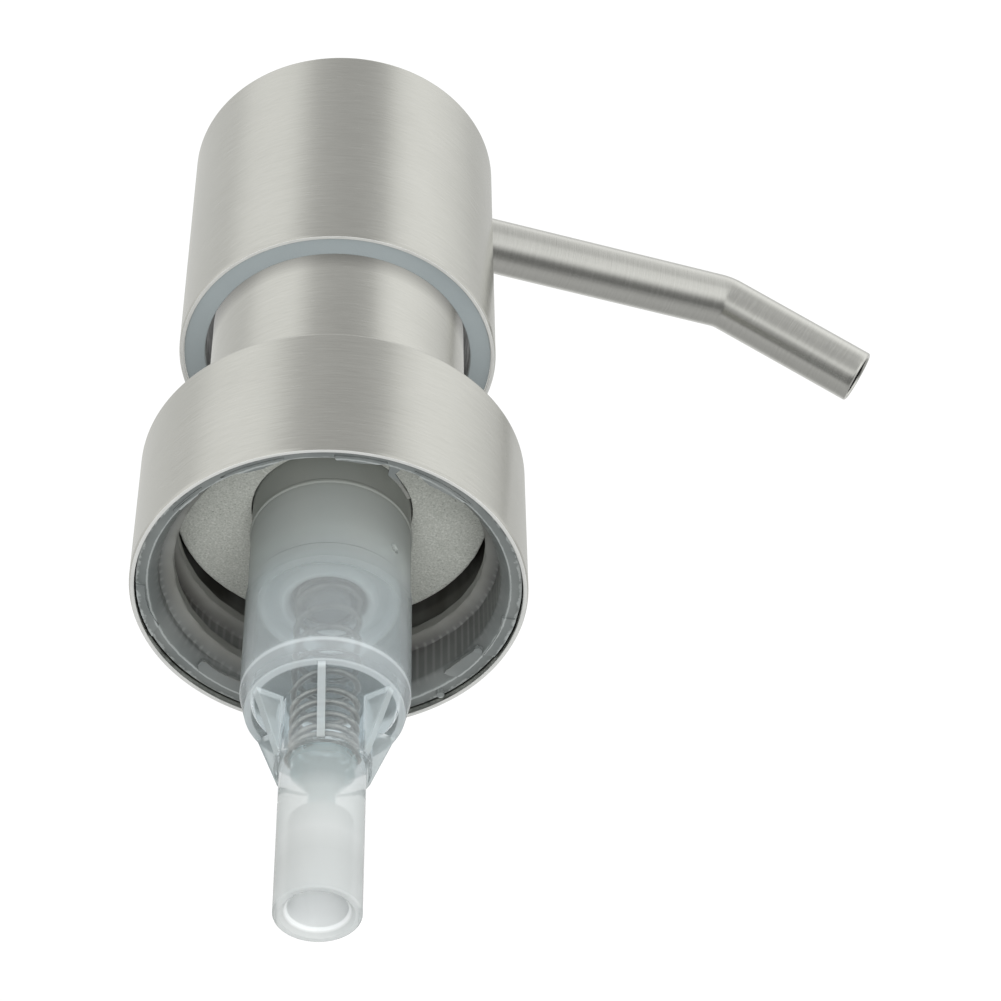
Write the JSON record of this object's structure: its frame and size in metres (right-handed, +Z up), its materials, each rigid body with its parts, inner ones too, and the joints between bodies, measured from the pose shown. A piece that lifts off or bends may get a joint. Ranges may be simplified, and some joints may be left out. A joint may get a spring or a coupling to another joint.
{
  "type": "liquid soap pump dispenser",
  "caption": "Press-action soap pump with a brushed steel head, bent tube spout and steel screw collar, over a translucent cylinder with an inner return spring and a dip-tube socket.",
  "frame": {"origin": "centre of the closure's lower rim, on the pump axis, where the bottle's neck enters", "axes": "+Z up along the pump axis, +X towards the spout's mouth, +Y to the left of the spout seen from above"},
  "size_m": [0.0704, 0.033, 0.0897],
  "materials": {
    "brushed_steel": "fine brushed, lines round the part",
    "polished_steel": "smooth",
    "spring_wire": "drawn stainless wire",
    "natural_plastic": "translucent natural polypropylene",
    "insert_plastic": "translucent grey-blue polypropylene",
    "head_plastic": "moulded grey-blue polypropylene",
    "piston_plastic": "moulded white polyethylene",
    "foam": "closed-cell polyethylene foam, fine grain"
  },
  "bodies": {
    "closure": {"cap_shell": "brushed_steel", "threaded_insert": "insert_plastic"},
    "pump": {"gasket": "foam", "pump_cylinder": "natural_plastic", "stem_guide": "head_plastic", "neck_sleeve": "brushed_steel", "return_spring": "spring_wire"},
    "inlet_ball": {"inlet_ball": "polished_steel"},
    "stem": {"stem": "head_plastic", "piston_rod": "piston_plastic"},
    "piston": {"piston": "piston_plastic"},
    "head": {"head_shell": "brushed_steel", "head_insert": "head_plastic", "spout_tube": "brushed_steel"}
  },
  "joints": [
    {"name": "closure_turn", "type": "hinge", "parent": "closure", "child": "pump", "pos_m": [0, 0, 0.0125], "axis": [0, 0, 1], "continuous": true},
    {"name": "head_press", "type": "slide", "parent": "pump", "child": "stem", "axis": [0, 0, -1], "range_m": [0, 0.0102], "stiffness_N_per_m": 450, "springref_m": -0.008, "deforming": ["return_spring"]},
    {"name": "head_swivel", "type": "hinge", "parent": "stem", "child": "head", "pos_m": [0, 0, 0.044], "axis": [0, 0, 1], "continuous": true},
    {"name": "piston_slip", "type": "slide", "parent": "stem", "child": "piston", "axis": [0, 0, 1], "range_m": [0, 0.001]},
    {"name": "inlet_ball_lift", "type": "slide", "parent": "pump", "child": "inlet_ball", "axis": [0, 0, 1], "range_m": [0, 0.0009]}
  ]
}
